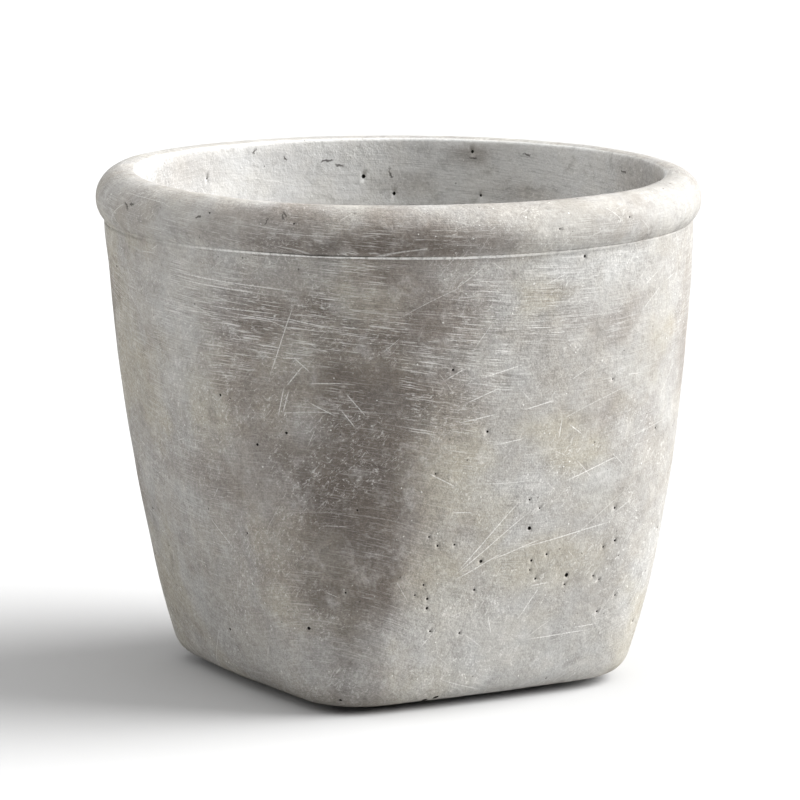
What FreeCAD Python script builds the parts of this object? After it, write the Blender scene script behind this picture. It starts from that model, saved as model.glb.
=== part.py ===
"""Cast cement plant pot with a removable drain plug and four foot pads.

Frame: origin at the centre of the footprint, on the surface that the pads rest on; +Z up.
The pot's wall is a circle under the rolled rim and a rounded square at the base. Each level
between is made of four face arcs and four corner arcs that meet in tangents.
"""

import FreeCAD, Part
import math
import os
import Sketcher

DEGREES_PER_SIDE = 90.0
SIDES = 4

# Driving dimensions in millimetres: alias, value, what it is.
SIZES = [
    ("rim_radius", 105.0, "outermost radius of the rolled rim"),
    ("bead_radius", 9.3, "radius of the rim's round section"),
    ("bead_height", 166.1, "centre of the rim's round section above the pot's base"),
    ("mouth_radius", 91.7, "inside radius of the mouth"),
    ("shoulder_radius", 102.0, "outside radius of the wall's top edge, under the rim"),
    ("shoulder_height", 158.8, "height of the wall's top edge above the pot's base"),
    ("taper_lean", 20.5, "straight part of the wall's taper, over its whole height"),
    ("taper_curve", 15.0, "curved part of the taper, which grows towards the base"),
    ("taper_tuck", 2.0, "extra taper just above the base"),
    ("base_corner", 23.0, "corner radius of the rounded square at the base"),
    ("base_face", 470.0, "radius of the nearly flat faces at the base"),
    ("heel_radius", 11.0, "rounding where the wall meets the base"),
    ("floor_thickness", 14.0, "thickness of the floor"),
    ("floor_fillet", 10.0, "rounding inside, between floor and wall"),
    ("mouth_fillet", 1.5, "rounding of the mouth's inner edge"),
    ("drain_diameter", 20.0, "diameter of the drain hole"),
    ("drain_chamfer", 1.0, "bevel at the lower end of the drain hole"),
    ("pad_diameter", 20.0, "diameter of a foot pad"),
    ("pad_thickness", 2.0, "thickness of a foot pad"),
    ("pad_edge", 0.5, "rounding of a foot pad's lower edge"),
    ("pad_reach", 54.0, "distance from the pot's axis to a foot pad's centre"),
    ("flange_radius", 15.0, "radius of the plug's flange, which seals on the floor"),
    ("flange_thickness", 2.4, "thickness of the plug's flange"),
    ("flange_edge", 0.9, "rounding of the flange's upper edge"),
    ("plug_radius", 9.6, "radius of the plug's shank under its flange"),
    ("plug_tip_radius", 8.4, "radius of the plug's shank at its tip"),
    ("plug_length", 13.0, "length of the plug's shank"),
    ("rib_radius", 9.9, "radius of the plug's sealing ribs"),
    ("rib_width", 1.2, "width of a sealing rib"),
    ("grip_width", 15.0, "width of the plug's pull tab"),
    ("grip_height", 13.0, "height of the plug's pull tab above the flange"),
    ("grip_thickness", 4.0, "thickness of the plug's pull tab"),
    ("grip_edge", 1.2, "rounding of the pull tab's edges"),
]

# Levels of the wall, as a share of the way down from its top edge to its base.
OUTER_LEVELS = {"Base": 1.0, "Heel": 0.92, "Lower": 0.75, "Middle": 0.4}
INNER_LEVELS = {"Lower": 0.75, "Middle": 0.4}
TUCK_POWER = 8      # keeps the extra taper close to the base
CORNER_POWER = 0.85  # how early the corners tighten on the way down
FACE_POWER = 0.8    # how early the faces flatten on the way down

PLUG_RIBS = {"UpperRib": 0.3, "LowerRib": 0.65}  # share of the shank's length, from the flange

doc = FreeCAD.newDocument("PlantPot")
sheet = doc.addObject("Spreadsheet::Sheet", "Sizes")
for row, (alias, size, meaning) in enumerate(SIZES, start=1):
    sheet.set(f"A{row}", meaning)
    sheet.set(f"B{row}", str(size))
    sheet.setAlias(f"B{row}", alias)
doc.recompute()


def value(expression):
    """The present value of an expression of the sheet's cells, in millimetres."""
    result = sheet.evalExpression(expression.replace("Sizes.", ""))
    return float(getattr(result, "Value", result))


def new_body(label):
    body = doc.addObject("PartDesign::Body", label)
    body.Label = label
    return body


def new_sketch(body, name, role, height=None):
    """An empty sketch on one of the body's origin planes, raised by the expression height."""
    sketch = body.newObject("Sketcher::SketchObject", name)
    plane = next(item for item in body.Origin.OriginFeatures if item.Role == role)
    sketch.AttachmentSupport = [(plane, "")]
    sketch.MapMode = "FlatFace"
    if height:
        sketch.setExpression(".AttachmentOffset.Base.z", height)
    return sketch


def constrain(sketch, kind, *where):
    """Adds a constraint. A text at the end of where is an expression that drives its size."""
    if isinstance(where[-1], str):
        expression = where[-1]
        index = sketch.addConstraint(Sketcher.Constraint(kind, *where[:-1], value(expression)))
        sketch.setExpression(f"Constraints[{index}]", expression)
    else:
        sketch.addConstraint(Sketcher.Constraint(kind, *where))


ORIGIN = (-1, 1)
START, END, CENTRE = 1, 2, 3
X_AXIS, Y_AXIS = -1, -2


def draw_circle(sketch, radius):
    circle = sketch.addGeometry(Part.Circle(FreeCAD.Vector(), FreeCAD.Vector(0, 0, 1), value(radius)), False)
    constrain(sketch, "Coincident", circle, CENTRE, *ORIGIN)
    constrain(sketch, "Radius", circle, radius)


def level_height(share):
    return f"Sizes.pad_thickness + Sizes.shoulder_height * {1 - share:.4g}"


def half_width(share):
    """Half the width of the wall's section across its faces."""
    return (
        f"Sizes.shoulder_radius - Sizes.taper_lean * {share:.4g}"
        f" - Sizes.taper_curve * {share ** 2:.4g} - Sizes.taper_tuck * {share ** TUCK_POWER:.4g}"
    )


def corner_radius(share):
    corner_change = "(Sizes.base_corner - Sizes.shoulder_radius)"
    return f"Sizes.shoulder_radius + {corner_change} * {share ** CORNER_POWER:.4g}"


def face_radius(share):
    blend = share ** FACE_POWER
    return f"1 / ({1 - blend:.4g} / Sizes.shoulder_radius + {blend:.4g} / Sizes.base_face)"


def wall_section(body, name, share, inset, height=None):
    """Rounded square of eight tangent arcs: four faces and four corners, drawn anticlockwise."""
    width = f"{half_width(share)} - ({inset})"
    corner = f"{corner_radius(share)} - ({inset})"
    face = f"{face_radius(share)} - ({inset})"
    sketch = new_sketch(body, name, "XY_Plane", height or level_height(share))
    w, c, f = value(width), value(corner), value(face)
    face_x = w - f
    corner_x = (face_x + math.sqrt(2 * (f - c) ** 2 - face_x ** 2)) / 2
    half_angle = math.atan2(corner_x, corner_x - face_x)
    up = FreeCAD.Vector(0, 0, 1)
    for side in range(SIDES):
        turn = FreeCAD.Rotation(up, DEGREES_PER_SIDE * side)
        facing = math.radians(DEGREES_PER_SIDE * side)
        face_circle = Part.Circle(turn.multVec(FreeCAD.Vector(face_x, 0, 0)), up, f)
        corner_circle = Part.Circle(turn.multVec(FreeCAD.Vector(corner_x, corner_x, 0)), up, c)
        face_arc = Part.ArcOfCircle(face_circle, facing - half_angle, facing + half_angle)
        corner_arc = Part.ArcOfCircle(
            corner_circle, facing + half_angle, facing + math.pi / 2 - half_angle
        )
        sketch.addGeometry([face_arc, corner_arc], False)
    arcs = 2 * SIDES
    for arc in range(arcs):
        constrain(sketch, "Tangent", arc, END, (arc + 1) % arcs, START)
    for side in range(1, SIDES):
        constrain(sketch, "Equal", 0, 2 * side)
        constrain(sketch, "Equal", 1, 2 * side + 1)
    constrain(sketch, "Radius", 0, face)
    constrain(sketch, "Radius", 1, corner)
    offset = f"{face} - ({width})"
    constrain(sketch, "PointOnObject", 0, CENTRE, X_AXIS)
    constrain(sketch, "DistanceX", 0, CENTRE, *ORIGIN, offset)
    constrain(sketch, "PointOnObject", 2, CENTRE, Y_AXIS)
    constrain(sketch, "DistanceY", 2, CENTRE, *ORIGIN, offset)
    constrain(sketch, "PointOnObject", 4, CENTRE, X_AXIS)
    constrain(sketch, "DistanceX", *ORIGIN, 4, CENTRE, offset)
    constrain(sketch, "PointOnObject", 6, CENTRE, Y_AXIS)
    constrain(sketch, "DistanceY", *ORIGIN, 6, CENTRE, offset)
    return sketch


def loft(body, kind, name, sections):
    feature = body.newObject(f"PartDesign::{kind}", name)
    feature.Profile = sections[0]
    feature.Sections = sections[1:]
    feature.Ruled = False
    doc.recompute()
    return feature


def rings_at(feature, height, least_radius, most_radius):
    """Names of the edges that lie flat at one height, between two distances from the axis."""
    names = []
    for number, edge in enumerate(feature.Shape.Edges, start=1):
        box = edge.BoundBox
        flat = abs(box.ZMin - height) < 0.01 and abs(box.ZMax - height) < 0.01
        points = [vertex.Point for vertex in edge.Vertexes]
        reach = [math.hypot(point.x, point.y) for point in points]
        if flat and least_radius <= min(reach) and max(reach) <= most_radius:
            names.append(f"Edge{number}")
    return names


def soften(body, kind, name, base, edges, size_name, size):
    """A Fillet or Chamfer on edges of the base feature."""
    feature = body.newObject(f"PartDesign::{kind}", name)
    feature.Base = (base, edges)
    feature.setExpression(size_name, size)
    doc.recompute()
    return feature


def make_pot_shell():
    """The whole cement casting: wall, floor and rolled rim."""
    body = new_body("pot_shell")
    wall = "Sizes.shoulder_radius - Sizes.mouth_radius"
    shoulder = level_height(0)

    outer = [wall_section(body, f"Outer{name}", share, "0") for name, share in OUTER_LEVELS.items()]
    outer_top = new_sketch(body, "OuterShoulder", "XY_Plane", shoulder)
    draw_circle(outer_top, "Sizes.shoulder_radius")
    loft(body, "AdditiveLoft", "Wall", outer + [outer_top])

    add_rim(body)

    floor_height = "Sizes.pad_thickness + Sizes.floor_thickness"
    floor_share = 1 - value("Sizes.floor_thickness / Sizes.shoulder_height")
    inner = [wall_section(body, "InnerFloor", floor_share, wall, floor_height)]
    inner += [wall_section(body, f"Inner{name}", share, wall) for name, share in INNER_LEVELS.items()]
    inner_top = new_sketch(body, "InnerShoulder", "XY_Plane", shoulder)
    draw_circle(inner_top, "Sizes.mouth_radius")
    loft(body, "SubtractiveLoft", "Interior", inner + [inner_top])

    mouth_sketch = new_sketch(body, "MouthCircle", "XY_Plane", shoulder)
    draw_circle(mouth_sketch, "Sizes.mouth_radius")
    mouth = body.newObject("PartDesign::Pocket", "Mouth")
    mouth.Profile = mouth_sketch
    mouth.Type = "Length"
    mouth.setExpression("Length", "Sizes.bead_height + Sizes.bead_radius - Sizes.shoulder_height")
    mouth.Reversed = True
    doc.recompute()

    add_drain(body, floor_height)
    round_edges(body)
    return body


def add_rim(body):
    """Rolled rim: a round section that stands proud of the wall and closes over its top edge."""
    sketch = new_sketch(body, "RimProfile", "XZ_Plane")
    centre_x = "Sizes.rim_radius - Sizes.bead_radius"
    centre_z = "Sizes.pad_thickness + Sizes.bead_height"
    inner = "Sizes.mouth_radius - Sizes.bead_radius / 2"
    low = f"{level_height(0)} - Sizes.bead_radius / 2"
    shoulder = level_height(0)
    radius = value("Sizes.bead_radius")
    centre = FreeCAD.Vector(value(centre_x), value(centre_z), 0)
    start_angle = math.asin((value(shoulder) - centre.y) / radius)
    end_angle = math.acos((value(inner) - centre.x) / radius)
    circle = Part.Circle(centre, FreeCAD.Vector(0, 0, 1), radius)
    arc = Part.ArcOfCircle(circle, start_angle, end_angle)
    inner_low = FreeCAD.Vector(value(inner), value(low), 0)
    outer_low = FreeCAD.Vector(arc.StartPoint.x, value(low), 0)
    sketch.addGeometry(
        [
            arc,
            Part.LineSegment(arc.EndPoint, inner_low),
            Part.LineSegment(inner_low, outer_low),
            Part.LineSegment(outer_low, arc.StartPoint),
        ],
        False,
    )
    for edge in range(4):
        constrain(sketch, "Coincident", edge, END, (edge + 1) % 4, START)
    constrain(sketch, "Vertical", 1)
    constrain(sketch, "Horizontal", 2)
    constrain(sketch, "Vertical", 3)
    constrain(sketch, "Radius", 0, "Sizes.bead_radius")
    constrain(sketch, "DistanceX", *ORIGIN, 0, CENTRE, centre_x)
    constrain(sketch, "DistanceY", *ORIGIN, 0, CENTRE, centre_z)
    constrain(sketch, "DistanceX", *ORIGIN, 1, END, inner)
    constrain(sketch, "DistanceY", *ORIGIN, 1, END, low)
    constrain(sketch, "DistanceY", *ORIGIN, 0, START, shoulder)
    rim = body.newObject("PartDesign::Revolution", "Rim")
    rim.Profile = sketch
    rim.ReferenceAxis = (sketch, ["V_Axis"])
    rim.Angle = 360
    doc.recompute()


def add_drain(body, floor_height):
    """Plain round hole through the middle of the floor."""
    sketch = new_sketch(body, "DrainCircle", "XY_Plane", floor_height)
    draw_circle(sketch, "Sizes.drain_diameter / 2")
    doc.recompute()
    drain = body.newObject("PartDesign::Hole", "Drain")
    drain.Profile = sketch
    doc.recompute()
    drain.Threaded = False
    drain.DepthType = "ThroughAll"
    drain.setExpression("Diameter", "Sizes.drain_diameter")
    doc.recompute()


def round_edges(body):
    base = value("Sizes.pad_thickness")
    floor = base + value("Sizes.floor_thickness")
    hole = value("Sizes.drain_diameter / 2")
    rim = value("Sizes.rim_radius")
    heel_edges = rings_at(body.Tip, base, 2 * hole, rim)
    heel = soften(body, "Fillet", "Heel", body.Tip, heel_edges, "Radius", "Sizes.heel_radius")
    floor_edges = rings_at(heel, floor, 2 * hole, rim)
    inside = soften(body, "Fillet", "FloorRound", heel, floor_edges, "Radius", "Sizes.floor_fillet")
    shoulder = value(level_height(0))
    mouth_edges = [
        f"Edge{number}"
        for number, edge in enumerate(inside.Shape.Edges, start=1)
        if edge.BoundBox.ZMin > shoulder + 1 and edge.BoundBox.ZLength < 0.05
    ]
    lip = soften(body, "Fillet", "MouthRound", inside, mouth_edges, "Radius", "Sizes.mouth_fillet")
    drain_edges = rings_at(lip, base, hole - 0.5, hole + 0.5)
    soften(body, "Chamfer", "DrainBevel", lip, drain_edges, "Size", "Sizes.drain_chamfer")


def make_drain_plug():
    """Moulded rubber stopper: flange, tapered shank with two sealing ribs, and a pull tab."""
    body = new_body("drain_plug")
    shank = new_sketch(body, "ShankProfile", "XZ_Plane")
    length, top, tip = "Sizes.plug_length", "Sizes.plug_radius", "Sizes.plug_tip_radius"
    flange, thick = "Sizes.flange_radius", "Sizes.flange_thickness"
    corners = [("0", f"-{length}"), (tip, f"-{length}"), (top, "0")]
    corners += [(flange, "0"), (flange, thick), ("0", thick)]
    points = [FreeCAD.Vector(value(x), value(z), 0) for x, z in corners]
    draw_stopper(shank, points, tip, top, flange, thick, length)
    stopper = body.newObject("PartDesign::Revolution", "Stopper")
    stopper.Profile = shank
    stopper.ReferenceAxis = (shank, ["V_Axis"])
    stopper.Angle = 360
    doc.recompute()
    flange_edges = rings_at(stopper, value(thick), value(flange) - 1, value(flange) + 1)
    soften(body, "Fillet", "FlangeRound", stopper, flange_edges, "Radius", "Sizes.flange_edge")
    for name, share in PLUG_RIBS.items():
        add_rib(body, name, share)
    add_grip(body)
    body.Placement.Base = FreeCAD.Vector(0, 0, value("Sizes.pad_thickness + Sizes.floor_thickness"))
    return body


def draw_stopper(sketch, points, tip, top, flange, thick, length):
    """Half outline of the stopper about its axis, with the flange's underside at height 0."""
    count = len(points)
    for i in range(count):
        sketch.addGeometry(Part.LineSegment(points[i], points[(i + 1) % count]), False)
    for i in range(count):
        constrain(sketch, "Coincident", i, END, (i + 1) % count, START)
    for horizontal in (0, 2, 4):
        constrain(sketch, "Horizontal", horizontal)
    constrain(sketch, "Vertical", 3)
    constrain(sketch, "PointOnObject", 0, START, Y_AXIS)
    constrain(sketch, "PointOnObject", 5, START, Y_AXIS)
    constrain(sketch, "PointOnObject", 2, START, X_AXIS)
    constrain(sketch, "DistanceY", 0, START, *ORIGIN, length)
    constrain(sketch, "DistanceX", *ORIGIN, 0, END, tip)
    constrain(sketch, "DistanceX", *ORIGIN, 1, END, top)
    constrain(sketch, "DistanceX", *ORIGIN, 2, END, flange)
    constrain(sketch, "DistanceY", *ORIGIN, 3, END, thick)


def add_rib(body, name, share):
    """A sealing rib: a short collar around the shank."""
    depth = f"-Sizes.plug_length * {share} - Sizes.rib_width / 2"
    sketch = new_sketch(body, f"{name}Circle", "XY_Plane", depth)
    draw_circle(sketch, "Sizes.rib_radius")
    rib = body.newObject("PartDesign::Pad", name)
    rib.Profile = sketch
    rib.setExpression("Length", "Sizes.rib_width")
    doc.recompute()


def add_grip(body):
    """Pull tab: an upright tongue with a round top, rooted in the flange."""
    sketch = new_sketch(body, "GripOutline", "XZ_Plane")
    half = value("Sizes.grip_width / 2")
    root = value("Sizes.flange_thickness / 2")
    shoulder = value("Sizes.flange_thickness + Sizes.grip_height - Sizes.grip_width / 2")
    circle = Part.Circle(FreeCAD.Vector(0, shoulder, 0), FreeCAD.Vector(0, 0, 1), half)
    arc = Part.ArcOfCircle(circle, 0, math.pi)
    left, right = FreeCAD.Vector(-half, root, 0), FreeCAD.Vector(half, root, 0)
    sketch.addGeometry(
        [arc, Part.LineSegment(arc.EndPoint, left), Part.LineSegment(left, right),
         Part.LineSegment(right, arc.StartPoint)],
        False,
    )
    constrain(sketch, "Tangent", 0, END, 1, START)
    constrain(sketch, "Coincident", 1, END, 2, START)
    constrain(sketch, "Coincident", 2, END, 3, START)
    constrain(sketch, "Tangent", 3, END, 0, START)
    constrain(sketch, "Vertical", 1)
    constrain(sketch, "Horizontal", 2)
    constrain(sketch, "PointOnObject", 0, CENTRE, Y_AXIS)
    constrain(sketch, "Radius", 0, "Sizes.grip_width / 2")
    constrain(sketch, "DistanceY", *ORIGIN, 2, START, "Sizes.flange_thickness / 2")
    constrain(
        sketch, "DistanceY", *ORIGIN, 0, CENTRE,
        "Sizes.flange_thickness + Sizes.grip_height - Sizes.grip_width / 2",
    )
    grip = body.newObject("PartDesign::Pad", "Grip")
    grip.Profile = sketch
    grip.Midplane = True
    grip.setExpression("Length", "Sizes.grip_thickness")
    doc.recompute()
    flange_top = value("Sizes.flange_thickness")
    top_edges = [
        f"Edge{number}"
        for number, edge in enumerate(grip.Shape.Edges, start=1)
        if edge.BoundBox.ZMin > flange_top - 0.01 and edge.BoundBox.ZMax > flange_top + 1
    ]
    soften(body, "Fillet", "GripRound", grip, top_edges, "Radius", "Sizes.grip_edge")


def make_foot_pad(number):
    """Self-adhesive pad under one corner of the base."""
    body = new_body(f"foot_pad_{number}")
    sketch = new_sketch(body, "PadCircle", "XY_Plane")
    draw_circle(sketch, "Sizes.pad_diameter / 2")
    disc = body.newObject("PartDesign::Pad", "Disc")
    disc.Profile = sketch
    disc.setExpression("Length", "Sizes.pad_thickness")
    doc.recompute()
    lower_edges = rings_at(disc, 0, 0, value("Sizes.pad_diameter"))
    soften(body, "Fillet", "LowerRound", disc, lower_edges, "Radius", "Sizes.pad_edge")
    corner = FreeCAD.Rotation(FreeCAD.Vector(0, 0, 1), DEGREES_PER_SIDE * (number - 0.5))
    reach = corner.multVec(FreeCAD.Vector(value("Sizes.pad_reach"), 0, 0))
    body.Placement = FreeCAD.Placement(reach, FreeCAD.Rotation())
    return body


def check_and_export(bodies):
    doc.recompute()
    for item in doc.Objects:
        broken = {"Invalid", "Error"} & set(item.State)
        if broken:
            raise RuntimeError(f"{item.Name} is {broken}")
    os.makedirs("parts", exist_ok=True)
    for body in bodies:
        shape = body.Shape
        if shape.isNull() or not shape.isValid() or len(shape.Solids) != 1:
            raise RuntimeError(f"{body.Label} isn't one valid solid")
        shape.exportStep(f"parts/{body.Label}.step")
        print(f"{body.Label}: {shape.Volume / 1000:.2f} cm3, {len(shape.Faces)} faces")


check_and_export(
    [make_pot_shell(), make_drain_plug()] + [make_foot_pad(number) for number in range(1, SIDES + 1)]
)
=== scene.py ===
"""Looks of the cast cement plant pot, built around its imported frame. Units are metres."""
import math
import random

import bpy
import numpy as np
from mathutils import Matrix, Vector, noise


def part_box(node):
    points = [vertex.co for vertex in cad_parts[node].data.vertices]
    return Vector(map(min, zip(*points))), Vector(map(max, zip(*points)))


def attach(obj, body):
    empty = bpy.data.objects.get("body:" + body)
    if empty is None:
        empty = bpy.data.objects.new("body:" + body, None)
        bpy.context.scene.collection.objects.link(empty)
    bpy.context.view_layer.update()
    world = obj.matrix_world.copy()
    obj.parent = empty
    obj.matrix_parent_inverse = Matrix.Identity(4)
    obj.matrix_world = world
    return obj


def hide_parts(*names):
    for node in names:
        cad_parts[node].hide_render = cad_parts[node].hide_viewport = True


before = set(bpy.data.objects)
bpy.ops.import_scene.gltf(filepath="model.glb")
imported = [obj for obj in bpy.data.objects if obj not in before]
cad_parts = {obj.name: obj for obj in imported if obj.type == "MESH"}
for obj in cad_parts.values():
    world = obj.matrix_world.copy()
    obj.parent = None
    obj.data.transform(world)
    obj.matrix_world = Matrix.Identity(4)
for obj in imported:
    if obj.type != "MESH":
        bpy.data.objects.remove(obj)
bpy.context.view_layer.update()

# ---------------------------------------------------------------- driving sizes, from the frame
POT_LOW, POT_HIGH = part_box("pot_shell")
BASE_Z = POT_LOW.z
TOP_Z = POT_HIGH.z
RIM_RADIUS = POT_HIGH.x

# The casting's own sizes, the same as the design's.
BEAD_RADIUS = 0.0093
BEAD_CENTRE_RADIUS = RIM_RADIUS - BEAD_RADIUS
BEAD_Z = TOP_Z - BEAD_RADIUS
MOUTH_RADIUS = 0.0917
MOUTH_ROUND = 0.0015
SHOULDER_RADIUS = 0.102
SHOULDER_HEIGHT = 0.1588
SHOULDER_Z = BASE_Z + SHOULDER_HEIGHT
TAPER_LEAN = 0.0205
TAPER_CURVE = 0.015
TAPER_TUCK = 0.002
TUCK_POWER = 8
BASE_CORNER = 0.023
BASE_FACE = 0.47
CORNER_POWER = 0.85
FACE_POWER = 0.8
HEEL_RADIUS = 0.011
FLOOR_Z = BASE_Z + 0.014
FLOOR_ROUND = 0.010
DRAIN_RADIUS = 0.010
DRAIN_BEVEL = 0.001

# The camera's place: it looks at one corner of the base, a little to the left of the middle.
CAMERA_AZIMUTH = math.radians(-119.34)
CAMERA_ELEVATION = math.radians(9.74)
CAMERA_DISTANCE = 1.948
CAMERA_LENS = 250.2
CAMERA_TARGET_Z = 0.0958
FLOOR_COLOUR = (0.54, 0.54, 0.54, 1)
SKY_STRENGTH = 0.04

AROUND = 360        # points around each ring of the pot
WALL_RINGS = 88
RIM_RINGS = 38
INSIDE_RINGS = 48
RIM_TILT = -0.0025  # rise per metre of reach to the right, as the rim sits a little out of level
LIP = 0.0005        # how far the raised line at the wall's top edge stands off it
SEED = 11           # for the pinholes that no table places
HIDDEN_PINHOLES = 60
LOOSE_INNER_PINHOLES = 16
CHIP_RADIUS = 1     # in mm: from here up a pit counts as a chip, shallow and ragged
MM = 1000           # millimetres in a metre
TINY = 1e-6
FLAT = 0.095        # radius at which the wall is unrolled for the listed marks, in metres
SCRATCH_WIDTH = 0.00024
CRACK_WIDTH = 0.0005
CEMENT_RELIEF = 0.0004      # depth of the fine relief that is shading only

# Where the hand finished surface stands proud: degrees right of the camera, mm up, half sizes, mm.
BULGES = ((80, 55, 45, 50, 0.8), (-85, 168, 50, 22, 0.8))

# Colours of the cement as they look on screen, 0 to 255.
CEMENT = (157, 154, 149)
PALE = (171, 170, 167)
BEIGE = (162, 157, 145)
BROWN = (122, 115, 109)
DARK_STAIN_AND_SHADE = (103, 96, 90)
GREYISH = (140, 138, 135)
LIMY_AND_LIT = (191, 190, 188)
BRIGHT_AND_LIT = (220, 220, 218)
PAINTED_SHADE = (112, 107, 100)

# Stains, and painted shade in some rows, laid one over another in this order: degrees to the right
# of the camera, mm up, half width and half height in the same units, shade, strength.
STAINS_AND_SHADE = (
    (-24, 84, 20, 56, BROWN, 0.5),
    # These three rows darken the band down the front corner: partly a real stain, partly painted
    # shade where the key light turns away.
    (-9, 68, 12, 44, DARK_STAIN_AND_SHADE, 0.95),
    (-5, 112, 17, 34, DARK_STAIN_AND_SHADE, 0.85),
    (-5, 47, 6, 12, DARK_STAIN_AND_SHADE, 0.75),
    (-10, 13, 8, 11, BROWN, 0.75),
    (6, 148, 14, 14, BROWN, 0.75),
    (-2, 155, 10, 5, BROWN, 0.8),
    (1, 134, 22, 9, BROWN, 0.9),
    (-26, 140, 14, 9, BROWN, 0.8),
    (-16, 167, 24, 5, BROWN, 0.75),
    (0, 168, 11, 7, BROWN, 0.85),
    (12, 167, 13, 5, BROWN, 0.75),
    (36, 169, 12, 6, GREYISH, 0.5),
    # Painted shade: these two rows darken the underside of the bead, which faces down away from the
    # light.
    (-4, 164, 24, 4, DARK_STAIN_AND_SHADE, 0.85),
    (4, 166, 14, 4, DARK_STAIN_AND_SHADE, 0.4),
    (-24, 174, 16, 4, BROWN, 0.7),
    (-3, 133, 12, 9, DARK_STAIN_AND_SHADE, 0.45),
    (-21, 139, 10, 6, DARK_STAIN_AND_SHADE, 0.3),
    # These two darken the same front-corner band lower down: partly stain, partly painted shade.
    (-10, 14, 7, 8, DARK_STAIN_AND_SHADE, 0.5),
    (-11, 45, 6, 8, DARK_STAIN_AND_SHADE, 0.4),
    (38, 7, 14, 5, PALE, 0.7),
    (30, 100, 9, 6, BEIGE, 0.8),
    (-44, 168, 16, 8, PALE, 0.4),
    (30, 168, 12, 7, PALE, 0.5),
    (34, 156, 26, 7, PALE, 0.9),
    (50, 147, 9, 6, PALE, 0.6),
    (74, 132, 9, 26, BROWN, 0.3),
    (68, 167, 14, 7, PALE, 0.6),
    (12, 88, 9, 22, BEIGE, 0.9),
    (12, 108, 8, 16, BROWN, 0.5),
    (9, 45, 8, 20, BEIGE, 0.7),
    (36, 50, 20, 9, BEIGE, 0.8),
    (38, 98, 8, 9, BEIGE, 0.7),
    (29, 80, 10, 13, PALE, 0.5),
    (44, 90, 8, 7, BEIGE, 0.9),
    (49, 78, 5, 7, PALE, 0.7),
    (56, 112, 8, 22, PALE, 0.7),
    (26, 17, 34, 22, PALE, 0.95),
    (-30, 17, 24, 10, PALE, 0.45),
    (-20, 100, 5, 5, PALE, 0.4),
    (-48, 145, 15, 16, PALE, 0.25),
    (-54, 112, 10, 12, PALE, 0.6),
    (-50, 80, 20, 8, BROWN, 0.45),
    (-32, 51, 9, 9, BROWN, 0.45),
    (-33, 118, 5, 22, BROWN, 0.5),
    # Painted shade along the foot, where the pot meets the floor.
    (-36, 3, 30, 7, PAINTED_SHADE, 0.35),
    (108, 168, 22, 12, BROWN, 0.3),
    (140, 100, 18, 40, BROWN, 0.7),
    (172, 60, 14, 30, BEIGE, 0.8),
    (-120, 70, 16, 34, BROWN, 0.6),
    (-150, 120, 22, 18, PALE, 0.7),
    (100, 130, 16, 20, PALE, 0.6),
)

# The same for the inside only; the bright rows are partly paler cement and partly painted light.
INNER_STAINS_AND_LIGHT = (
    (164, 166, 34, 26, BRIGHT_AND_LIT, 0.85),
    (138, 168, 18, 20, BRIGHT_AND_LIT, 0.45),
    (197, 166, 12, 14, BRIGHT_AND_LIT, 0.5),
    (222, 166, 16, 14, BRIGHT_AND_LIT, 0.35),
    (241, 172, 16, 12, BROWN, 0.3),
    (178, 160, 5, 4, DARK_STAIN_AND_SHADE, 0.25),
    (163, 171, 5, 3, BROWN, 0.6),
    (150, 158, 9, 3, BROWN, 0.4),
)

# Chalky scuffs, sanding lines and places worn smooth: degrees to the right of the camera, mm up,
# half sizes in the same units, strength.
CHALK = (
    (-23, 108, 11, 14, 1.0), (-14, 90, 9, 12, 0.9), (-14, 13, 6, 7, 1.0), (9, 5, 4, 5, 1.0),
    (32, 76, 17, 15, 0.9), (12, 118, 6, 6, 0.6), (-30, 50, 10, 16, 0.6), (-50, 100, 12, 22, 0.6),
    (24, 16, 16, 8, 0.7), (-20, 8, 5, 4, 0.8), (5, 40, 5, 16, 0.5), (-8, 128, 8, 6, 0.6),
    (150, 80, 20, 30, 0.8), (-130, 100, 18, 20, 0.7), (98, 60, 16, 24, 0.7),
)
SANDED = (
    (-24, 140, 26, 18, 1.0), (18, 134, 24, 22, 1.0), (-12, 112, 10, 8, 0.5), (12, 106, 10, 12, 0.7),
    (160, 130, 60, 22, 0.9), (-110, 128, 40, 18, 0.9), (-10, 168, 60, 6, 0.6),
    (180, 165, 70, 12, 0.55),
)
SMOOTH = (
    (62, 90, 42, 90, 0.55), (38, 16, 34, 24, 0.6), (50, 170, 44, 12, 0.65), (-50, 170, 30, 9, 0.5),
    (-52, 140, 16, 40, 0.3), (215, 165, 34, 30, 0.7), (165, 165, 30, 30, 0.3),
    (120, 60, 30, 60, 0.4),
)

# The clearest scratches: degrees to the right of the camera, mm up, length in mm, lean in degrees
# up to the right.
SCRATCHES = (
    (-34, 150, 56, -2), (-37, 148, 40, -2), (-32, 141, 30, 0), (-28, 139, 26, -3),
    (-17, 138, 22, -9), (-23, 132, 31, 71), (-20.5, 120, 11, 52), (-23.5, 111, 13, 77),
    (-22.5, 111, 10, 74), (-8.5, 111, 12, -50), (-19, 124, 8, -40), (-15, 109, 12, -26),
    (-10, 106, 9, -52), (-21, 126, 9, 4), (-14, 118, 14, 3), (21, 63, 42, 46), (22, 60, 44, 36),
    (19, 52, 24, 24), (42, 60, 48, 9), (29, 57, 26, 16), (46, 83, 30, 17), (36, 99, 8, 88),
    (40, 98, 9, -32), (35, 37, 15, 56), (24, 30, 9, -68), (54, 25, 14, 2), (46, 23, 36, 2),
    (16, 105, 17, 10), (17, 113, 16, 22), (21, 121, 18, 15), (-46, 60, 18, -34), (9, 84, 13, -28),
    (24, 96, 12, 8), (14, 72, 9, -4), (37, 43, 10, 4), (11, 121, 9, 30), (30, 108, 14, 12),
)

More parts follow.
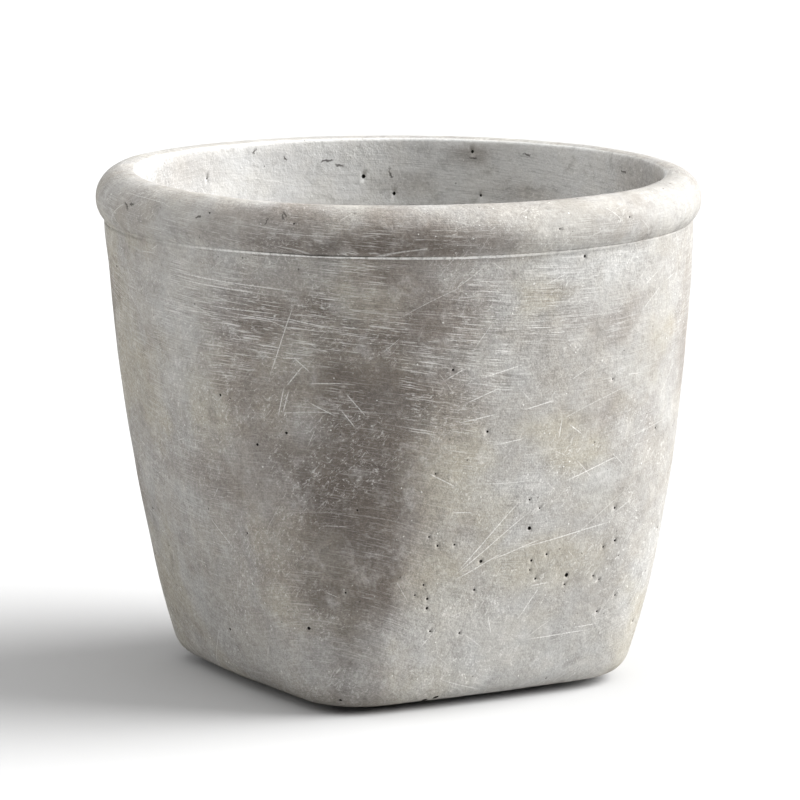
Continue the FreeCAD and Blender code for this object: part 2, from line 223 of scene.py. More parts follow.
# Fine dark cracks on the outside and the inside, given as the scratches are.
OUTER_CRACKS = (
    (-62, 171, 5, -30), (-60, 172, 4, 20), (-22, 174, 4, -60), (-25, 172, 3, 80), (-40, 172, 3, 10),
)
INNER_CRACKS = (
    (197, 169, 7, -10), (194, 167, 5, 12), (182, 163, 9, 84), (184, 158, 6, 60), (163, 170, 3, 0),
    (161, 157, 6, 10), (215, 174, 3, -50), (207, 171, 3, 70), (150, 172, 4, 5), (120, 170, 5, 3),
)

# Pinholes, chips at the base and pinholes inside: degrees to the right of the camera, mm up,
# radius in mm.
PINHOLES = (
    (31, 64, 0.75), (19, 54, 0.6), (44, 45, 0.8), (33, 52, 0.45), (37, 54, 0.4), (35, 45, 0.4),
    (18, 43, 0.4), (44, 41, 0.35), (56, 55, 0.45), (54, 67, 0.4), (73, 56, 0.35), (30, 74, 0.35),
    (33, 71, 0.3), (33, 49, 0.3), (53, 53, 0.35), (52, 44, 0.35), (54, 41, 0.3), (56, 29, 0.35),
    (60, 34, 0.35), (70, 23, 0.3), (8, 61, 0.4), (6, 64, 0.35), (12, 60, 0.35), (5, 47, 0.4),
    (3, 43, 0.35), (6, 41, 0.5), (6, 38, 0.5), (15, 28, 0.35), (7, 29, 0.35), (18, 101, 0.45),
    (7, 86, 0.35), (64, 94, 0.3), (10, 122, 0.4), (48, 114, 0.3), (37, 158, 0.5), (47, 170, 0.35),
    (30, 169, 0.3), (-39, 110, 0.5), (-23, 101, 0.5), (-30, 95, 0.5), (-21, 32, 0.65),
    (-54, 23, 0.55), (-15, 6, 0.55), (-36, 62, 0.35), (-12, 46, 0.35), (-50, 68, 0.3),
    (-9, 75, 0.35), (-20, 172, 0.35), (-38, 173, 0.35),
)
CHIPS = ((7.5, 3.5, 1.25), (10, 4, 1.1), (8.5, 1.5, 1.0))
INNER_PINHOLES = (
    (181, 156, 0.7), (188, 164, 0.8), (229, 165, 0.35), (161, 156, 0.5), (163, 171, 0.6),
)


# ---------------------------------------------------------------- the pot's surface
def wall_shape(share):
    """Half width, corner radius and face radius of the wall, by share of the way down."""
    width = (SHOULDER_RADIUS - TAPER_LEAN * share - TAPER_CURVE * share ** 2
             - TAPER_TUCK * share ** TUCK_POWER)
    corner = SHOULDER_RADIUS + (BASE_CORNER - SHOULDER_RADIUS) * share ** CORNER_POWER
    blend = share ** FACE_POWER
    face = 1 / ((1 - blend) / SHOULDER_RADIUS + blend / BASE_FACE)
    return width, corner, face


def section(angles, width, corner, face):
    """Distance from the axis of a rounded square of four face arcs and four corner arcs."""
    face_x = width - face
    if face - corner < TINY:
        return np.full(len(angles), width)
    corner_x = (face_x + math.sqrt(2 * (face - corner) ** 2 - face_x ** 2)) / 2
    reach = face / (face - corner)
    joint = math.atan2(corner_x * reach, face_x + (corner_x - face_x) * reach)
    quarter = math.pi / 2
    off = np.abs((angles + quarter / 2) % quarter - quarter / 2)
    on_face = face_x * np.cos(off) + np.sqrt(face ** 2 - (face_x * np.sin(off)) ** 2)
    middle = corner_x * (np.cos(off) + np.sin(off))
    under = np.maximum(middle ** 2 - (2 * corner_x ** 2 - corner ** 2), 0)
    on_corner = middle + np.sqrt(under)
    return np.where(off <= joint, on_face, on_corner)


def wall_ring(angles, height, inset):
    """The wall's section at a height, drawn in by inset all round."""
    share = min(max((SHOULDER_Z - height) / SHOULDER_HEIGHT, 0), 1)
    width, corner, face = wall_shape(share)
    return section(angles, width - inset, corner - inset, face - inset)


def even_steps(start, end, count):
    """count values from start towards end, without start."""
    return [start + (end - start) * (i + 1) / count for i in range(count)]


def heel_rings(angles, radius, inset, floor_z, count):
    """Rounding between a level floor and the wall: (radii, height) of each ring, upwards."""
    top = floor_z + radius
    rise = 0.001
    above, below = (wall_ring(angles[:1], top + step, inset)[0] for step in (rise, 0))
    slope = (above - below) / rise
    turn = math.pi / 2 - math.atan(slope)
    touch_z = floor_z + radius * (1 - math.cos(turn))
    rings = []
    for step in range(count + 1):
        phi = turn * step / count
        draw_in = inset + radius * (math.sin(turn) - math.sin(phi))
        height = floor_z + radius * (1 - math.cos(phi))
        rings.append((wall_ring(angles, touch_z, draw_in), height))
    return rings, touch_z


def pot_rings():
    """Every ring of the closed surface: under the base, up the wall, over the rim, down inside."""
    angles = np.arange(AROUND) * 2 * math.pi / AROUND
    plain = np.ones(AROUND)
    rings = []

    def add(radii, height, zone):
        rings.append((radii, height, zone))

    heel, heel_top = heel_rings(angles, HEEL_RADIUS, 0, BASE_Z, 10)
    bevel = DRAIN_RADIUS + DRAIN_BEVEL
    add(plain * bevel, BASE_Z, "base")
    for share in even_steps(0, 1, 7)[:-1]:
        add(plain * bevel * (1 - share) + heel[0][0] * share, BASE_Z, "base")
    for radii, height in heel:
        add(radii, height, "wall")
    for height in even_steps(heel_top, SHOULDER_Z - LIP, WALL_RINGS):
        add(wall_ring(angles, height, 0), height, "wall")

    # The wall's top edge: a fine raised lip, then the narrow ledge in to the rim.
    for turn in (40, 75, 110, 150):
        turn = math.radians(turn)
        out = LIP * (math.sin(turn) * 0.7 - 0.25)
        add(plain * (SHOULDER_RADIUS + out * 0.8), SHOULDER_Z - LIP * math.cos(turn), "lip")
    start = math.asin((SHOULDER_Z - BEAD_Z) / BEAD_RADIUS)
    end = math.acos((MOUTH_RADIUS + MOUTH_ROUND - BEAD_CENTRE_RADIUS) / BEAD_RADIUS)
    for turn in [start] + even_steps(start, end, RIM_RINGS):
        radius = BEAD_CENTRE_RADIUS + BEAD_RADIUS * math.cos(turn)
        add(plain * radius, BEAD_Z + BEAD_RADIUS * math.sin(turn), "rim")

    # The mouth's inner edge turns down into the inside.
    lip_z = BEAD_Z + BEAD_RADIUS * math.sin(end)
    for turn in even_steps(math.radians(20), math.radians(90), 4):
        add(plain * (MOUTH_RADIUS + MOUTH_ROUND * (1 - math.sin(turn))),
            lip_z - MOUTH_ROUND * (1 - math.cos(turn)), "mouth")
    wall = SHOULDER_RADIUS - MOUTH_RADIUS
    floor, floor_top = heel_rings(angles, FLOOR_ROUND, wall, FLOOR_Z, 8)
    for height in even_steps(lip_z - MOUTH_ROUND, floor_top, INSIDE_RINGS)[:-1]:
        if height > SHOULDER_Z:
            add(plain * MOUTH_RADIUS, height, "inside")
        else:
            add(wall_ring(angles, height, wall), height, "inside")
    for radii, height in reversed(floor):
        add(radii, height, "inside")
    for share in even_steps(0, 1, 9):
        add(floor[0][0] * (1 - share) + plain * DRAIN_RADIUS * share, FLOOR_Z, "inside")
    for height in even_steps(FLOOR_Z, BASE_Z + DRAIN_BEVEL, 6):
        add(plain * DRAIN_RADIUS, height, "drain")
    return angles, rings


def unevenness(point):
    """How far the hand cast surface stands off its true shape at a point, in metres."""
    broad = noise.noise(point * 16 + Vector((3.1, 7.7, 1.9))) * 0.00045
    middle = noise.noise(point * 55) * 0.00018
    fine = noise.noise(point * 170) * 0.00006
    return broad + middle + fine


def view_angle(x, y):
    """Azimuth of points, in degrees to the right of the camera's."""
    turned = np.degrees(np.arctan2(y, x) - CAMERA_AZIMUTH)
    return (turned + 180) % 360 - 180


def mottle(points, scale, offset):
    """Cloudy values from 0 to 1 at points."""
    shift = Vector(offset)
    values = [noise.fractal(Vector(point) * scale + shift, 0.9, 2.1, 4) for point in points]
    return np.clip(np.array(values) * 0.9 + 0.5, 0, 1)


def smooth_step(values, low, high):
    share = np.clip((values - low) / (high - low), 0, 1)
    return share * share * (3 - 2 * share)


def paint(points, zones):
    """Broad colour of the cement at points, with painted shade and light in places, as it looks on
    screen from 0 to 255.
    """
    turned = view_angle(points[:, 0], points[:, 1])
    height = points[:, 2] * MM
    ragged = (mottle(points, 42, (2, 5, 9)) - 0.5) * 1.6

    colour = np.tile(np.array(CEMENT, dtype=float), (len(points), 1))

    def tint(shade, amount):
        colour[:] += (np.array(shade) - colour) * amount[:, None]

    calm = np.where(zones == "rim", 0.4, 1.0)
    tint(PALE, smooth_step(mottle(points, 30, (0, 0, 0)), 0.5, 0.85) * 0.55 * calm)
    tint(BEIGE, smooth_step(mottle(points, 22, (4, 8, 1)), 0.52, 0.85) * 0.7 * calm)
    tint(BROWN, smooth_step(mottle(points, 19, (8, 3, 6)), 0.56, 0.9) * 0.5 * calm)
    inner = np.isin(zones, ("inside", "mouth"))
    # The inside is paler all over: partly paler cement, partly painted light.
    tint(LIMY_AND_LIT, inner * (0.8 + ragged * 0.3))
    # Painted shade, darker towards the inside floor.
    tint(PAINTED_SHADE, (zones == "inside") * (1 - smooth_step(height, 14, 60)) * 0.6)
    top = TOP_Z * MM
    # The top of the rim is paler: partly limy cement, partly painted light from above.
    tint(LIMY_AND_LIT, (zones == "rim") * smooth_step(height, top - 9, top - 1) * (0.2 + ragged * 0.2))
    # Some rows of these tables are painted shade, and the bright inside rows are partly painted
    # light.
    for table, where in ((STAINS_AND_SHADE, 1.0), (INNER_STAINS_AND_LIGHT, inner)):
        for angle, level, wide, tall, shade, strength in table:
            off = ((turned - angle + 180) % 360 - 180) / wide
            distance = np.sqrt(off ** 2 + ((height - level) / tall) ** 2) + ragged * 0.4
            tint(shade, (1 - smooth_step(distance, 0.2, 1.5)) * strength * where)
    return colour


def spots(points, places, ragged):
    """Strength from 0 to 1 of the soft-edged spots that a table of places gives."""
    turned = view_angle(points[:, 0], points[:, 1])
    height = points[:, 2] * MM
    total = np.zeros(len(points))
    for angle, level, wide, tall, strength in places:
        off = ((turned - angle + 180) % 360 - 180) / wide
        distance = np.sqrt(off ** 2 + ((height - level) / tall) ** 2) + ragged
        total = np.maximum(total, (1 - smooth_step(distance, 0.4, 1.3)) * strength)
    return total


def sink_pit(faces, verts, border, middle, radius, depth, rough, draw):
    """Cut a small round pit through the patch inside border, which runs round a middle point.

    The middle point becomes the pit's deepest. Gives how many of the new faces are the pit's own.
    """
    corners = [Vector(verts[i]) for i in border]
    centre = Vector(verts[middle])
    spokes = [corner - centre for corner in corners]
    normal = sum((a.cross(b) for a, b in zip(spokes, spokes[1:] + spokes[:1])), Vector())
    normal.normalize()
    sides = len(border)
    start = len(verts)
    reaches = [radius * (1 + draw.uniform(-rough, rough)) for _ in range(sides)]
    for level, share in ((0.0, 1.0), (-0.6, 0.85)):
        for corner, reach in zip(corners, reaches):
            out = corner - centre
            out = (out - normal * out.dot(normal)).normalized()
            verts.append(tuple(centre + out * reach * share + normal * depth * level))
    verts[middle] = tuple(centre - normal * depth)
    for i in range(sides):
        k = (i + 1) % sides
        faces.append((border[i], border[k], start + k, start + i))
    for i in range(sides):
        k = (i + 1) % sides
        faces.append((start + i, start + k, start + sides + k, start + sides + i))
        faces.append((start + sides + i, start + sides + k, middle))
    return 2 * sides


def make_pot():
    angles, rings = pot_rings()
    count = len(rings)
    zones = np.array([ring[2] for ring in rings])
    radii = np.array([ring[0] for ring in rings])
    heights = np.repeat(np.array([ring[1] for ring in rings])[:, None], AROUND, axis=1)
    points = np.stack([radii * np.cos(angles), radii * np.sin(angles), heights], axis=2)

    # The surface moves along its own normal, so each ring's neighbours say which way that is.
    along = np.roll(points, -1, axis=0) - np.roll(points, 1, axis=0)
    around = np.roll(points, -1, axis=1) - np.roll(points, 1, axis=1)
    normals = np.cross(around, along)
    normals /= np.maximum(np.linalg.norm(normals, axis=2, keepdims=True), 1e-9)
    shift = np.array([unevenness(Vector(point)) for point in points.reshape(-1, 3)])
    shift += spots(points.reshape(-1, 3), BULGES, 0.0) / MM
    moved = np.where(np.isin(zones, ("base", "drain")), 0.0, 1.0)[:, None]
    points = points + normals * (shift.reshape(count, AROUND) * moved)[:, :, None]

    # The rim sits a little out of level.
    turned = np.radians(view_angle(points[:, :, 0], points[:, :, 1]))
    raised = smooth_step(points[:, :, 2], SHOULDER_Z - 0.06, SHOULDER_Z)
    reach = np.linalg.norm(points[:, :, :2], axis=2)
    points[:, :, 2] += RIM_TILT * reach * np.sin(turned) * raised

    verts = [tuple(point) for point in points.reshape(-1, 3)]
    vert_zones = np.repeat(zones, AROUND)
    colours = paint(points.reshape(-1, 3), vert_zones)

    # Pinholes left by air in the mix, each cut through the four quads round the point nearest it.
    draw = random.Random(SEED)
    outside = np.isin(zones, ("wall", "rim"))
    grid_angle = view_angle(points[:, :, 0], points[:, :, 1])
    grid_height = points[:, :, 2] * MM
    wanted = [(angle, height, radius, True) for angle, height, radius in CHIPS + PINHOLES]
    wanted += [(angle, height, radius, False) for angle, height, radius in INNER_PINHOLES]
    for _ in range(HIDDEN_PINHOLES):
        angle = draw.uniform(75, 285)
        wanted.append((angle, 8 + 140 * draw.random() ** 1.4, draw.uniform(0.25, 0.55), True))
    for _ in range(LOOSE_INNER_PINHOLES):
        angle = draw.uniform(-180, 180)
        wanted.append((angle, draw.uniform(20, 150), draw.uniform(0.3, 0.6), False))
    pits, taken = {}, set()
    for angle, height, radius, is_outside in wanted:
        off = np.abs((grid_angle - angle + 180) % 360 - 180)
        miss = off * 1.6 + np.abs(grid_height - height)
        miss[outside != is_outside] = 1e9
        i, j = (int(place) for place in np.unravel_index(np.argmin(miss), miss.shape))
        block = {(row, column % AROUND) for row in (i - 1, i) for column in (j - 1, j)}
        if not block & taken:
            taken |= block
            pits[i, j] = (radius, radius >= CHIP_RADIUS)

    faces, dark, beside = [], [], []

    def index(row, column):
        return (row % count) * AROUND + column % AROUND

    around_point = ((-1, -1), (-1, 0), (-1, 1), (0, 1), (1, 1), (1, 0), (1, -1), (0, -1))
    for i in range(count):
        for j in range(AROUND):
            if (i, j) not in taken:
                faces.append((index(i, j), index(i, j + 1),
                              index(i + 1, j + 1), index(i + 1, j)))
    for (i, j), (radius, is_chip) in pits.items():
        border = [index(i + row, j + column) for row, column in around_point]
        depth = radius * (0.7 if is_chip else 1.8)
        rough = 0.35 if is_chip else 0.1
        pit = sink_pit(faces, verts, border, index(i, j), radius / MM, depth / MM, rough, draw)
        dark += range(len(faces) - pit, len(faces))
        beside += [index(i, j)] * (2 * len(border))

    mesh = bpy.data.meshes.new("pot")
    mesh.from_pydata(verts, [], faces)
    for polygon in mesh.polygons:
        polygon.use_smooth = True
    # The pits' own faces take the second material, their painted shade.
    for face in dark:
        mesh.polygons[face].material_index = 1
        mesh.polygons[face].use_smooth = False

    source = np.concatenate([np.arange(count * AROUND), np.array(beside)])
    colours = colours[source]
    rgba = np.ones((len(verts), 4))
    rgba[:, :3] = np.array([tone(*value)[:3] for value in colours])
    tints = mesh.attributes.new("tint", "FLOAT_COLOR", "POINT")
    tints.data.foreach_set("color", rgba.ravel())
    flat_points = points.reshape(-1, 3)
    ragged = (mottle(flat_points, 60, (6, 1, 2)) - 0.5) * 1.3
    # The lip's painted highlight is strongest at the front and at the back, and fades towards both
    # sides.
    around_lip = view_angle(flat_points[:, 0], flat_points[:, 1]) % 180 + 8
    from_middle = np.abs((around_lip + 90) % 180 - 90)
    lip_highlight_strength = 0.1 + 0.9 * (1 - smooth_step(from_middle, 18, 46))
    marks = {
        # On the lip this is a painted highlight; on the mouth's edge it is a fainter pale wear
        # line.
        "lip_highlight_and_wear": np.where(vert_zones == "lip", lip_highlight_strength, np.where(vert_zones == "mouth", 0.3, 0.0)),
        "chalk": np.maximum(spots(flat_points, CHALK, ragged),
                            smooth_step(mottle(flat_points, 34, (9, 9, 2)), 0.55, 0.85) * 0.7),
        "sanded": np.maximum(spots(flat_points, SANDED, ragged),
                             smooth_step(mottle(flat_points, 26, (5, 3, 7)), 0.5, 0.8) * 0.2),
        "smooth": spots(flat_points, SMOOTH, ragged * 0.5),
    }
    for name, values in marks.items():
        layer = mesh.attributes.new(name, "FLOAT", "POINT")
        layer.data.foreach_set("value", values[source])
    pot = bpy.data.objects.new("pot", mesh)
    bpy.context.scene.collection.objects.link(pot)
    return pot


# ---------------------------------------------------------------- shader building
class Graph:
    """A material's node tree, with short ways to add the nodes used here."""

    def __init__(self, name):
        self.material = bpy.data.materials.new(name)
        self.material.use_nodes = True
        self.nodes = self.material.node_tree.nodes
        self.links = self.material.node_tree.links
        self.shader = self.nodes["Principled BSDF"]

    def node(self, kind, inputs=None, **settings):
        made = self.nodes.new(kind)
        for name, setting in settings.items():
            setattr(made, name, setting)        # a group's sockets come with its tree
        for name, given in (inputs or {}).items():
            self.put(made.inputs[name], given)
        return made

    def put(self, socket, given):
        if isinstance(given, bpy.types.NodeSocket):
            self.links.new(given, socket)
        else:
            socket.default_value = given

    def math(self, operation, a, b=0.0, c=0.0, clamp=False):
        inputs = {0: a, 1: b, 2: c}
        return self.node("ShaderNodeMath", inputs, operation=operation, use_clamp=clamp).outputs[0]

    def vector(self, operation, a, b=(0, 0, 0)):
        made = self.node("ShaderNodeVectorMath", {0: a, 1: b}, operation=operation)
        return made.outputs[1 if operation in ("LENGTH", "DOT_PRODUCT") else 0]

    def split(self, vector):
        return self.node("ShaderNodeSeparateXYZ", {0: vector}).outputs

    def join(self, x, y, z=0.0):
        return self.node("ShaderNodeCombineXYZ", {0: x, 1: y, 2: z}).outputs[0]

    def noise(self, vector, scale, detail=3.0, roughness=0.55, distortion=0.0):
        inputs = {"Vector": vector, "Scale": scale, "Detail": detail, "Roughness": roughness,
                  "Distortion": distortion}
        return self.node("ShaderNodeTexNoise", inputs).outputs["Fac"]

    def step(self, fac, low, high, out_low=0.0, out_high=1.0):
        """Smooth change from out_low to out_high as fac goes from low to high."""
        inputs = {"Value": fac, "From Min": low, "From Max": high,
                  "To Min": out_low, "To Max": out_high}
        return self.node("ShaderNodeMapRange", inputs, interpolation_type="SMOOTHSTEP").outputs[0]

    def mix(self, fac, a, b, blend="MIX"):
        made = self.node("ShaderNodeMix", data_type="RGBA", blend_type=blend)
        self.put(made.inputs[0], fac)
        self.put(made.inputs[6], a)
        self.put(made.inputs[7], b)
        return made.outputs[2]

    def bump(self, height, distance, normal=None):
        inputs = {"Height": height, "Distance": distance}
        if normal is not None:
            inputs["Normal"] = normal
        return self.node("ShaderNodeBump", inputs).outputs[0]


def tone(red, green, blue):
    """A colour given as it looks on screen, 0 to 255, in the linear form that shaders take."""
    def linear(channel):
        channel /= 255
        return channel / 12.92 if channel <= 0.04045 else ((channel + 0.055) / 1.055) ** 2.4
    return (linear(red), linear(green), linear(blue), 1)


def scratch_layer(g, flat, cell, length, width, lean, spread, share, offset):
    """Fine straight scratches, at most one in each cell of a random pattern."""
    scaled = g.node("ShaderNodeVectorMath", {0: flat, 3: 1 / cell}, operation="SCALE").outputs[0]
    moved = g.vector("ADD", scaled, offset)
    inputs = {"Vector": moved, "Scale": 1.0}
    cells = g.node("ShaderNodeTexVoronoi", inputs, voronoi_dimensions="2D")
    x, y, _ = g.split(g.vector("SUBTRACT", moved, cells.outputs["Position"]))
    chance = g.node("ShaderNodeSeparateColor", {0: cells.outputs["Color"]}).outputs
    angle = g.math("MULTIPLY_ADD", chance[0], spread, lean - spread / 2)
    cosine, sine = g.math("COSINE", angle), g.math("SINE", angle)
    along = g.math("MULTIPLY_ADD", x, cosine, g.math("MULTIPLY", y, sine))
    across = g.math("SUBTRACT", g.math("MULTIPLY", y, cosine), g.math("MULTIPLY", x, sine))
    bend = g.math("MULTIPLY_ADD", chance[1], 0.24, -0.12)
    bent = g.math("MULTIPLY_ADD", g.math("MULTIPLY", along, along), bend, across)
    reach = g.math("MULTIPLY_ADD", chance[1], 0.7 * length / cell, 0.3 * length / cell)
    thin = g.step(g.math("ABSOLUTE", bent), 0.0, width / cell, 1.0, 0.0)
    short = g.step(g.math("DIVIDE", g.math("ABSOLUTE", along), reach), 0.4, 1.0, 1.0, 0.0)
    present = g.step(chance[2], share * 0.2, share, 1.0, 0.0)
    return g.math("MULTIPLY", g.math("MULTIPLY", thin, short), present)


def mark_group():
    """Node group for one straight mark that fades towards its ends, at a given place and lean."""
    tree = bpy.data.node_groups.new("mark", "ShaderNodeTree")
    for name, kind in (("Vector", "Vector"), ("Location", "Vector"), ("Rotation", "Vector"),
                       ("Length", "Float"), ("Width", "Float")):
        tree.interface.new_socket(name, in_out="INPUT", socket_type="NodeSocket" + kind)
    tree.interface.new_socket("Mark", in_out="OUTPUT", socket_type="NodeSocketFloat")
    g = Graph.__new__(Graph)
    g.nodes, g.links = tree.nodes, tree.links
    given = g.node("NodeGroupInput").outputs
    inputs = {name: given[name] for name in ("Vector", "Location", "Rotation")}
    x, y, _ = g.split(g.node("ShaderNodeMapping", inputs, vector_type="TEXTURE").outputs[0])
    share = g.math("DIVIDE", g.math("ABSOLUTE", x), given["Length"])
    bowed = g.math("MULTIPLY_ADD", g.math("MULTIPLY", x, share), 0.05, y)
    thin = g.step(g.math("DIVIDE", g.math("ABSOLUTE", bowed), given["Width"]), 0.4, 1.0, 1.0, 0.0)
    mark = g.math("MULTIPLY", thin, g.step(share, 0.2, 0.5, 1.0, 0.0))
    g.put(g.node("NodeGroupOutput").inputs["Mark"], mark)
    return tree


def drawn_marks(g, group, place, table, width):
    """All the marks of a table of angle, height, length and lean, on the unrolled surface."""
    total = None
    for angle, height, length, lean in table:
        angle = (angle + 180) % 360 - 180
        inputs = {"Vector": place, "Location": (math.radians(angle) * FLAT, height / MM, 0),
                  "Rotation": (0, 0, math.radians(lean)), "Length": length / MM, "Width": width}
        mark = g.node("ShaderNodeGroup", inputs, node_tree=group).outputs[0]
        total = mark if total is None else g.math("MAXIMUM", total, mark)
    return total


def dashes(g, flat, lean, long, fine, low, high):
    """Short broken marks that all lie one way.

    long and fine are how often they repeat in a metre, along them and across.
    """
    turned = g.node("ShaderNodeMapping", {"Vector": flat, "Rotation": (0, 0, -lean)}).outputs[0]
    stretched = g.vector("MULTIPLY", turned, (long, fine, 1))
    return g.step(g.noise(stretched, 1, 2, 0.6), low, high)


def cement_material():
    g = Graph("cement")
    place = g.node("ShaderNodeTexCoord").outputs["Object"]
    from_view = {"Vector": place, "Rotation": (0, 0, -CAMERA_AZIMUTH)}
    turned = g.node("ShaderNodeMapping", from_view).outputs[0]
    x, y, z = g.split(turned)
    radius = g.math("SQRT", g.math("MULTIPLY_ADD", x, x, g.math("MULTIPLY", y, y)))
    turn = g.math("ARCTAN2", y, x)
    up = g.math("MULTIPLY_ADD", radius, -0.8, z)
    flat = g.join(g.math("MULTIPLY", turn, 0.1), up)
    # Fades marks out where the unrolled surface has its seam, behind the pot.
    whole = g.step(g.math("ABSOLUTE", turn), 3.0, 3.1, 1, 0)

    tint = g.node("ShaderNodeAttribute", attribute_name="tint").outputs["Color"]
    lip_highlight_and_wear, chalk, sanded, smooth = (g.node("ShaderNodeAttribute", attribute_name=name).outputs["Fac"]
                                   for name in ("lip_highlight_and_wear", "chalk", "sanded", "smooth"))
    rough = g.math("SUBTRACT", 1.0, smooth)
    grain = g.noise(place, 1500, 2, 0.75)
    crumbs = g.noise(place, 620, 3, 0.7)
    lumps = g.noise(place, 130, 4, 0.72)

    # Cloudy lime and damp at the size of a few millimetres, then sandy grain and a slight
    # wander between warm and cool. An overlay of 188 grey changes nothing.
    lime = g.mix(0.55, tint, tone(196, 194, 190))
    colour = g.mix(g.step(lumps, 0.5, 0.68, 0, 0.5), tint, lime)
    damp = g.mix(0.5, colour, tone(86, 80, 74))
    colour = g.mix(g.step(lumps, 0.47, 0.32, 0, 0.45), colour, damp)
    coarse = g.mix(g.step(crumbs, 0.32, 0.68), tone(172, 172, 172), tone(203, 203, 203))
    colour = g.mix(g.math("MULTIPLY", rough, 0.5), colour, coarse, "OVERLAY")
    fine = g.mix(g.step(grain, 0.3, 0.7), tone(160, 160, 160), tone(212, 212, 212))
    colour = g.mix(g.math("MULTIPLY", rough, 0.5), colour, fine, "OVERLAY")
    hue = g.noise(place, 75, 3, 0.6)
    hue = g.mix(g.step(hue, 0.35, 0.65), tone(192, 188, 181), tone(185, 188, 193))
    colour = g.mix(0.2, colour, hue, "OVERLAY")

    # Sanding lines, which keep close to circles round the pot.
    leaning = g.math("MULTIPLY_ADD", g.math("SINE", g.math("ADD", turn, 0.5)), 0.008, up)
    circles = g.join(x, y, leaning)
    lines = g.noise(g.vector("MULTIPLY", circles, (75, 75, 2700)), 1, 2, 0.75)
    broken = g.noise(g.vector("MULTIPLY", circles, (300, 300, 3000)), 1, 2, 0.7)
    depth = g.math("MULTIPLY", g.math("MULTIPLY_ADD", sanded, 0.8, 0.2),
                   g.math("MULTIPLY_ADD", rough, 0.7, 0.3))
    dark_lines = g.math("MULTIPLY", g.step(lines, 0.47, 0.36), g.math("MULTIPLY", depth, 0.8))
    colour = g.mix(dark_lines, colour, g.mix(0.5, colour, tone(70, 66, 62)))
    pale_lines = g.math("MULTIPLY", g.step(lines, 0.57, 0.66), g.math("MULTIPLY", depth, 0.7))
    pale_dashes = g.math("MULTIPLY", g.step(broken, 0.59, 0.68), g.math("MULTIPLY", depth, 0.6))

    # Chalky scuffs that cross at angles, with crumbs among them.
    sway = g.join(g.math("MULTIPLY", lumps, 0.006), g.math("MULTIPLY", lumps, 0.011))
    swayed = g.vector("ADD", flat, sway)
    cross = g.math("MAXIMUM", dashes(g, swayed, 0.6, 200, 1900, 0.58, 0.72),
                   dashes(g, swayed, -0.25, 240, 2100, 0.58, 0.72))
    dust = g.math("MULTIPLY", g.step(crumbs, 0.59, 0.66), g.step(grain, 0.46, 0.58))
    scuffs = g.math("MAXIMUM", g.math("MULTIPLY", cross, 0.85), dust)
    scuffs = g.math("MULTIPLY", scuffs, g.math("MULTIPLY_ADD", chalk, 0.62, 0.08))

    scratches = scratch_layer(g, flat, 0.015, 0.008, 0.00020, 0.1, 2.0, 0.6, (9, 4, 0))
    for cell, length, width, lean, spread, share, offset in (
        (0.034, 0.024, 0.00022, 0.45, 1.1, 0.5, (2, 7, 0)),
        (0.055, 0.036, 0.00022, -0.06, 0.3, 0.7, (4, 1, 0)),
    ):
        layer = scratch_layer(g, flat, cell, length, width, lean, spread, share, offset)
        scratches = g.math("MAXIMUM", scratches, layer)
    scratches = g.math("MULTIPLY", g.math("MULTIPLY", scratches, whole), 0.6)
    unrolled = g.join(g.math("MULTIPLY", turn, FLAT), z)
    # The outside lies beyond a cone that runs up inside the thickness of the wall.
    outer = g.math("GREATER_THAN", g.math("SUBTRACT", radius, g.math("MULTIPLY", z, 0.15)), 0.0675)
    group = mark_group()
    drawn = drawn_marks(g, group, unrolled, SCRATCHES, SCRATCH_WIDTH)
    drawn = g.math("MULTIPLY", drawn, outer)
    scratches = g.math("MAXIMUM", scratches, g.math("MULTIPLY", drawn, 0.72))
    scratches = g.math("MULTIPLY", scratches, g.step(grain, 0.3, 0.55, 0.3, 1.0))
    crooked = g.vector("ADD", unrolled, g.join(g.math("MULTIPLY_ADD", crumbs, 0.004, -0.002),
                                               g.math("MULTIPLY_ADD", lumps, 0.004, -0.002)))
    outer_cracks = drawn_marks(g, group, crooked, OUTER_CRACKS, CRACK_WIDTH)
    outer_cracks = g.math("MULTIPLY", outer_cracks, outer)
    inner_cracks = drawn_marks(g, group, crooked, INNER_CRACKS, CRACK_WIDTH)
    inner_cracks = g.math("MULTIPLY", inner_cracks, g.math("SUBTRACT", 1.0, outer))
    cracks = g.math("MAXIMUM", outer_cracks, inner_cracks)

    sanding = g.math("MAXIMUM", pale_lines, pale_dashes)
    marks = g.math("MAXIMUM", sanding, g.math("MAXIMUM", scuffs, scratches))
    # Painted highlight along the lip, and pale wear on the mouth's edge, broken up by crumbs.
    lip_shine_and_wear = g.math("MULTIPLY", lip_highlight_and_wear, g.step(crumbs, 0.3, 0.55, 0.35, 1.0))
    marks = g.math("MAXIMUM", marks, lip_shine_and_wear)
    colour = g.mix(marks, colour, g.mix(0.8, colour, tone(240, 239, 236)))
    colour = g.mix(g.math("MULTIPLY", cracks, 0.8), colour, tone(66, 62, 58))

    # Specks of pale sand and dark grit.
    shake = g.vector("MULTIPLY", g.join(grain, crumbs, grain), (0.0006, 0.0006, 0.0006))
    shaken = g.vector("ADD", place, shake)
    specks = g.node("ShaderNodeTexVoronoi", {"Vector": shaken, "Scale": 420.0})
    kind = g.node("ShaderNodeSeparateColor", {0: specks.outputs["Color"]}).outputs
    size = g.math("MULTIPLY_ADD", kind[1], 0.12, 0.05)
    dot = g.step(g.math("DIVIDE", specks.outputs["Distance"], size), 0.7, 1.1, 1.0, 0.0)
    pale = g.math("MULTIPLY", dot, g.math("GREATER_THAN", kind[0], 0.8))
    dark = g.math("MULTIPLY", dot, g.math("LESS_THAN", kind[0], 0.09))
    colour = g.mix(g.math("MULTIPLY", pale, 0.65), colour, tone(228, 227, 223))
    colour = g.mix(g.math("MULTIPLY", dark, 0.6), colour, tone(62, 58, 54))

